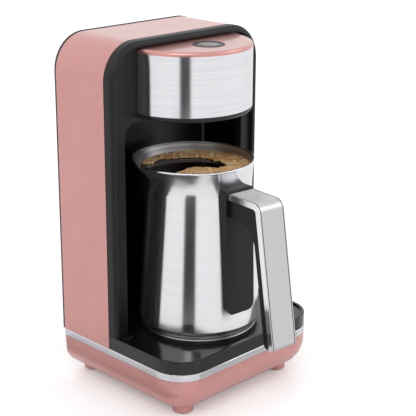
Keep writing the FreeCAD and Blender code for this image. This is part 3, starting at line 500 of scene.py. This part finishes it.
def board_finish():
    board = Finish("solder_mask", Coat_Roughness=0.12)
    tracks = board.start.node("TexBrick", {"offset": 0.5, "squash": 1.0},
                              {"Vector": board.place, "Scale": 1.0, "Mortar Size": track_gap,
                               "Mortar Smooth": 0.1, "Brick Width": track_length,
                               "Row Height": track_pitch}, output=1)
    weave = board.grain(2.0, detail=1.0)
    board.set("Base Color", (tracks * 0.8 + weave * 0.15).blend(mask_green, track_green))
    board.set("Roughness", 0.34 + weave * 0.12)
    board.set("Coat Weight", 0.25 + tracks * 0.15)
    board.bump(tracks, 0.4, 0.05)
    return board


dress(board_finish(), "power_board", "switch_board", "sensor_board")

# Parts on the boards: black moulded cases with a fine spark-eroded skin, a wound coil
# in its core, and a green terminal block.
case_black = tint(30, 30, 31)
case_grey = tint(52, 52, 54)
coil_copper = tint(178, 98, 52)
coil_tape = tint(206, 170, 70)
block_green = tint(52, 128, 84)
block_dark = tint(34, 96, 62)


def case_finish(name, ground, high):
    case = Finish(name, Specular_IOR_Level=0.45)
    skin = case.grain(3.5, detail=3.0)
    flow = case.grain(0.12, detail=2.0).rising(0.4, 0.7)
    case.set("Base Color", (skin * 0.35 + flow * 0.25).blend(ground, high))
    case.set("Roughness", 0.46 + skin * 0.18)
    case.bump(skin, 0.35, 0.05)
    return case


def coil_finish():
    coil = Finish("wound_coil", Specular_IOR_Level=0.5)
    turns = ((coil.axis(2) * (math.tau / (0.6 * MM))).worked("SINE") * 0.5 + 0.5)
    taped = coil.grain(0.08, detail=1.0).rising(0.45, 0.55)
    coil.set("Base Color", taped.blend(coil_copper, coil_tape))
    coil.set("Roughness", 0.30 + turns * 0.15)
    coil.bump(turns, 0.6, 0.2)
    return coil


dress(case_finish("component_case", case_black, case_grey), "power_relay", "filter_capacitor", "tact_switch",
      "buzzer")
dress(case_finish("terminal_case", block_dark, block_green), "terminal_block")
dress(coil_finish(), "transformer")

# Rear panel: a charcoal moulding with an even spark-eroded texture, screwed to bosses
# inside the column shell.
panel_ground = tint(50, 50, 52)
panel_high = tint(74, 74, 77)
dress(case_finish("panel_texture", panel_ground, panel_high), "back_panel")

# Front frame: a satin black moulding with a rounded outer lip, on which the head is
# mounted. Its skin is a very fine etched grain that catches light as a soft sheen.
frame_ground = tint(17, 17, 18)
frame_high = tint(31, 30, 32)


def satin_finish(name, ground, high, gloss):
    satin = Finish(name, Specular_IOR_Level=0.32)
    etch = satin.grain(4.0, detail=2.0)
    drift = satin.grain(0.015, detail=2.0).rising(0.3, 0.7)
    satin.set("Base Color", (etch * 0.4 + drift * 0.3).blend(ground, high))
    satin.set("Roughness", gloss + etch * 0.08 + drift * 0.04)
    satin.bump(etch, 0.18, 0.03)
    return satin


dress(satin_finish("frame_satin", frame_ground, frame_high, 0.36), "front_frame")

# Head: a black moulded housing screwed to the frame, wrapped by a steel band brushed
# along its length. A tinted window in its floor looks down into the pot.
housing_ground = tint(26, 26, 27)
housing_high = tint(40, 40, 42)
band_light = tint(238, 238, 240)
band_shade = tint(214, 214, 218)
window_tint = tint(70, 12, 14)
window_deep = tint(20, 4, 5)
brush_lines_per_mm = 3.0
brush_stretch = (0.002, 0.002, 1)


def brush(steel):
    """Straight level lines, as left by a brush that runs round an upright axis."""
    fine = steel.grain(brush_lines_per_mm, brush_stretch, detail=3.0, rough=0.7)
    broad = steel.grain(brush_lines_per_mm * 0.25, (0.01, 0.01, 1))
    steel.bump(steel.grain(brush_lines_per_mm, brush_stretch), 0.02, 0.01)
    return fine * 0.7 + broad * 0.3


def band_finish():
    """Steel that blurs what it mirrors up and down, but hardly round its axis."""
    steel = Finish("band_steel", Metallic=0.98, Anisotropic=0.5, Anisotropic_Rotation=0.25)
    lines = brush(steel)
    steel.set("Base Color", lines.rising(0.25, 0.75).blend(band_light, band_shade))
    steel.set("Roughness", 0.15 + lines * 0.06)
    return steel


def window_finish():
    window = Finish("infrared_window", Coat_Weight=0.6, Coat_Roughness=0.03)
    depth = window.grain(0.4, detail=2.0)
    window.set("Base Color", depth.blend(window_tint, window_deep))
    window.set("Roughness", 0.08 + depth * 0.06)
    return window


dress(satin_finish("housing_satin", housing_ground, housing_high, 0.32), "head_housing", "button_guide")
dress(band_finish(), "steel_band")
dress(window_finish(), "sensor_lens")

# Push button: a dished cap spun from aluminium and anodised dark, paler in the middle
# where the spinning lines catch the light. A dark turned collar stands round it, its
# outside painted paler as a highlight.
cap_low, cap_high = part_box("button_cap")
cap_centre = (cap_low + cap_high) / 2
cap_radius = (cap_high.x - cap_low.x) / 2
cap_rim = tint(44, 43, 45)
cap_middle = tint(150, 148, 150)
bezel_painted_highlight = tint(104, 102, 104)
bezel_dark = tint(62, 60, 62)


def button_finish():
    spun = Finish("spun_cap", Metallic=1.0)
    radius = ring_distance(spun, cap_centre)
    rings = (radius * (math.tau / (0.45 * MM))).worked("SINE") * 0.5 + 0.5
    middle = 1.0 - radius.rising(cap_radius * 0.66, cap_radius * 0.80)
    spun.set("Base Color", middle.blend(cap_rim, cap_middle))
    spun.set("Roughness", 0.22 + rings * 0.10)
    spun.bump(rings, 0.25, 0.03)
    return spun


dress(button_finish(), "button_cap")
# The bezel's paler outside is a painted highlight on a dark ring.
dress(turned_finish("bezel_ring", cap_centre, 0.5, bezel_painted_highlight, bezel_dark, cap_radius * 2), "button_bezel")

# Return spring: a coil of plated wire that stands in the guide and carries the cap. The
# share of its length kept when the button is pressed is worked out, but the copy made
# here keeps its full length.
spring_low, spring_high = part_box("button_spring")
press = next(joint for joint in frame["record"]["behaviour"]["joints"] if joint["name"] == "button_press")
spring_keep = 1 - press["range_m"][1] / (spring_high.z - spring_low.z)
spring_mesh = frame["nodes"]["button_spring"].data.copy()
spring_mesh.materials.clear()
spring = new_piece("button_spring_coil", spring_mesh, zinc, "housing")
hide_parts("button_spring")
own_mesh(spring)

# Pot: drawn from stainless steel sheet and brushed round outside, with a rolled rim and
# a beak on its left. Inside, the drawing leaves a duller satin with faint level bands,
# and the inside is painted darker than the outside as shade.
rim_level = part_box("pot_body")[1].z
pot_turn = math.radians(-5.0)
beak_way = Vector((-math.cos(pot_turn), -math.sin(pot_turn), 0))
pot_light = tint(238, 238, 240)
pot_shade = tint(220, 220, 223)
# Inside colours, darker than the outside's: painted shade in the pot.
inside_shaded_pale = tint(190, 189, 190)
inside_shaded_dark = tint(140, 139, 141)
drawn_bands_per_mm = 0.55


def pot_finish():
    """The wall's own direction tells its inside, which faces the axis, from its outside."""
    steel = Finish("pot_steel", Metallic=0.97, Anisotropic=0.5, Anisotropic_Rotation=0.25)
    to_axis = (-plate_centre.x, -plate_centre.y, 0.0)
    across = steel.start.node("VectorMath", {"operation": "MULTIPLY_ADD"},
                              {0: steel.place, 1: (1.0, 1.0, 0.0), 2: to_axis})
    outward = steel.start.node("VectorMath", {"operation": "NORMALIZE"}, {0: across})
    facing = steel.start.node("VectorMath", {"operation": "DOT_PRODUCT"},
                              {0: steel.start.node("TexCoord", output=1), 1: outward}, 1)
    inside = (facing * -1.0).rising(0.20, 0.60)
    lines = brush(steel)
    bands = steel.grain(drawn_bands_per_mm, stretch=(0.004, 0.004, 1), detail=3.0).rising(0.35, 0.65)
    brushed = lines.rising(0.25, 0.75).blend(pot_light, pot_shade)
    # The inside is painted darker than the outside: painted shade in the pot, on top of its real duller satin
    # and level bands.
    steel.set("Base Color", inside.blend(brushed, bands.blend(inside_shaded_pale, inside_shaded_dark)))
    steel.set("Roughness", 0.15 + lines * 0.05 + inside * 0.20 + inside * bands * 0.06)
    return steel


dress(pot_finish(), "pot_body")

# Handle: a black satin core screwed to a bracket on the pot's wall, under a bright
# cover whose edges are polished while its broad faces are brushed satin. The polished
# edges are also painted paler than the faces, a painted highlight.
core_ground = tint(12, 12, 13)
core_high = tint(24, 24, 25)
cover_satin = tint(202, 202, 204)
cover_polished_highlight = tint(240, 240, 242)
cover_groove = tint(46, 45, 46)
groove_at = 10.9 * MM
groove_half = 0.45 * MM


def cover_finish():
    cover = Finish("handle_cover_metal", Metallic=1.0, Anisotropic=0.3)
    way = tuple(-beak_way)
    across = cover.start.node("VectorMath", {"operation": "DOT_PRODUCT"}, {0: cover.place, 1: way}, 1)
    offset = plate_centre.dot(-beak_way)
    side = abs(across - offset)
    facing = cover.start.node("VectorMath", {"operation": "DOT_PRODUCT"},
                              {0: cover.start.node("TexCoord", output=1), 1: way}, 1)
    edge = abs(facing).rising(0.35, 0.75)
    line = (1.0 - abs(side - groove_at).rising(groove_half * 0.6, groove_half)) * (1.0 - edge)
    brushed = cover.grain(1.4, stretch=(1, 0.05, 0.05), detail=3.0)
    # The polished edges get a paler colour than the brushed faces: a painted highlight, beside their real
    # lower roughness.
    plain = edge.blend(cover_satin, cover_polished_highlight)
    cover.set("Base Color", line.blend(plain, cover_groove))
    cover.set("Roughness", 0.30 - edge * 0.20 + brushed * 0.06)
    cover.bump(brushed * (1.0 - edge) - line, 0.15, 0.05)
    return cover


dress(satin_finish("handle_satin", core_ground, core_high, 0.34), "handle_core", "handle_bracket")
dress(cover_finish(), "handle_cover")

# Coffee in the pot: a dark liquid under a loose foam that clings to the wall and turns
# in towards the middle. Bubbles of all sizes stand up in the foam.
coffee_drop = 9.0 * MM
coffee_level = rim_level - coffee_drop
coffee_radius = 42.6 * MM
coffee_shift = 2.5 * MM
coffee_centre = Vector((plate_centre.x, plate_centre.y, 0)) + beak_way * coffee_shift
climb_from = 0.93
climb_rise = 9 * MM
beak_extra = 5.0 * MM
beak_spread = 0.36
coffee_rings = 56
coffee_spokes = 168
bubble_count = 420
bubble_seed = 11
bubble_sizes_mm = (0.35, 0.8)
bubble_extra = 0.9 * MM
bubble_rise = 0.8 * MM
coffee_dark = tint(22, 6, 3)
coffee_brown = tint(120, 58, 24)
foam_tan = tint(232, 166, 98)
foam_pale = tint(254, 222, 168)
bubble_dark = tint(176, 104, 50)
eye_middle = (-8, 1)
eye_half = (31, 25)
island_middle = (7, -17)
island_half = (21, 15)
eye_rim = 0.90
island_rim = 1.04
foam_fade = 0.14
bare_from = 34
bare_fade = 12
right_way = Vector((math.cos(view_azimuth), math.sin(view_azimuth), 0))
far_way = Vector((-math.sin(view_azimuth), math.cos(view_azimuth), 0))


def coffee_reach(angle):
    """Distance of the wall from the middle, longer where the beak opens."""
    off_beak = abs(math.remainder(angle - math.atan2(beak_way.y, beak_way.x), math.tau))
    return coffee_radius + beak_extra * max(0.0, 1 - off_beak / beak_spread)


def foam_share(x, y):
    """1 in the foam and 0 in the bare dark coffee, at a place from the middle of the pot."""
    place = Vector((x, y, 0))
    wobble = noise.noise(place * 90) * 0.22 + noise.noise(place * 260) * 0.10
    right = place.dot(right_way) / MM
    far = place.dot(far_way) / MM
    eye = math.hypot((right - eye_middle[0]) / eye_half[0], (far - eye_middle[1]) / eye_half[1])
    island = math.hypot((right - island_middle[0]) / island_half[0],
                        (far - island_middle[1]) / island_half[1])
    outside = min(max((eye + wobble - eye_rim) / foam_fade, 0), 1)
    inside = min(max((island_rim - island - wobble) / foam_fade, 0), 1)
    near_left = min(max((-right - far - bare_from) / bare_fade, 0), 1)
    return max(outside * (1 - near_left), inside)


def coffee_mesh():
    mesh = bpy.data.meshes.new("coffee")
    shape = bmesh.new()
    tone = shape.verts.layers.float.new("foam")
    rings = [[shape.verts.new((coffee_centre.x, coffee_centre.y, coffee_level))]]
    for ring in range(1, coffee_rings + 1):
        row = []
        for spoke in range(coffee_spokes):
            angle = math.tau * spoke / coffee_spokes
            reach = coffee_reach(angle) * ring / coffee_rings
            x = reach * math.cos(angle)
            y = reach * math.sin(angle)
            foam = foam_share(x, y)
            swell = foam * (0.9 + 0.5 * noise.noise(Vector((x, y, 0)) * 420)) * MM
            climb = max(0.0, ring / coffee_rings - climb_from) * climb_rise
            point = shape.verts.new((coffee_centre.x + x, coffee_centre.y + y, coffee_level + swell + climb))
            point[tone] = foam
            row.append(point)
        rings.append(row)
    for spoke in range(coffee_spokes):
        after = (spoke + 1) % coffee_spokes
        shape.faces.new((rings[0][0], rings[1][spoke], rings[1][after]))
        for ring in range(1, coffee_rings):
            shape.faces.new((rings[ring][spoke], rings[ring + 1][spoke], rings[ring + 1][after],
                             rings[ring][after]))
    for face in shape.faces:
        face.smooth = True
    shape.to_mesh(mesh)
    shape.free()
    return mesh


def bubble_mesh():
    """Half-sunk bubbles, small ones packed in the foam and a few larger ones among them."""
    mesh = bpy.data.meshes.new("coffee_bubbles")
    shape = bmesh.new()
    chance = random.Random(bubble_seed)
    made = 0
    while made < bubble_count:
        angle = chance.uniform(0, math.tau)
        share = math.sqrt(chance.uniform(0.05, 0.98))
        reach = coffee_reach(angle) * share
        x = reach * math.cos(angle)
        y = reach * math.sin(angle)
        size = chance.uniform(*bubble_sizes_mm) * MM + (bubble_extra if chance.random() > 0.90 else 0)
        if foam_share(x, y) < 0.6 or reach + size > coffee_reach(angle):
            continue
        made += 1
        place = Matrix.Translation((coffee_centre.x + x, coffee_centre.y + y, coffee_level + bubble_rise))
        squat = Matrix.Diagonal((1, 1, 0.75, 1))
        bmesh.ops.create_icosphere(shape, subdivisions=2, radius=size, matrix=place @ squat)
    for face in shape.faces:
        face.smooth = True
    shape.to_mesh(mesh)
    shape.free()
    return mesh


def coffee_finish():
    coffee = Finish("brewed_coffee", Coat_Roughness=0.03)
    foam = coffee.start.node("Attribute", {"attribute_name": "foam"}, output=2)
    pores = coffee.cells(0.75).rising(0.06, 0.28)
    small = coffee.cells(1.6).rising(0.02, 0.22)
    shade = coffee.grain(0.12, detail=4.0)
    pale = shade.rising(0.3, 0.7).blend(foam_tan, foam_pale)
    froth = (pores * 0.55 + small * 0.45).blend(coffee_brown, pale)
    edge = foam.rising(0.15, 0.75)
    coffee.set("Base Color", edge.blend(coffee_dark, froth))
    coffee.set("Roughness", 0.06 + edge * 0.38)
    coffee.set("Coat Weight", 0.6 - edge * 0.35)
    coffee.bump((pores * 0.6 + small * 0.4) * edge, 0.7, 0.5)
    return coffee


def bubble_finish():
    bubble = Finish("foam_bubbles", Coat_Weight=0.5, Coat_Roughness=0.04)
    shade = bubble.grain(0.35, detail=2.0).rising(0.3, 0.7)
    bubble.set("Base Color", shade.blend(bubble_dark, foam_pale))
    bubble.set("Roughness", 0.12 + shade * 0.2)
    return bubble


new_piece("coffee", coffee_mesh(), coffee_finish(), "pot")
new_piece("coffee_bubbles", bubble_mesh(), bubble_finish(), "pot")
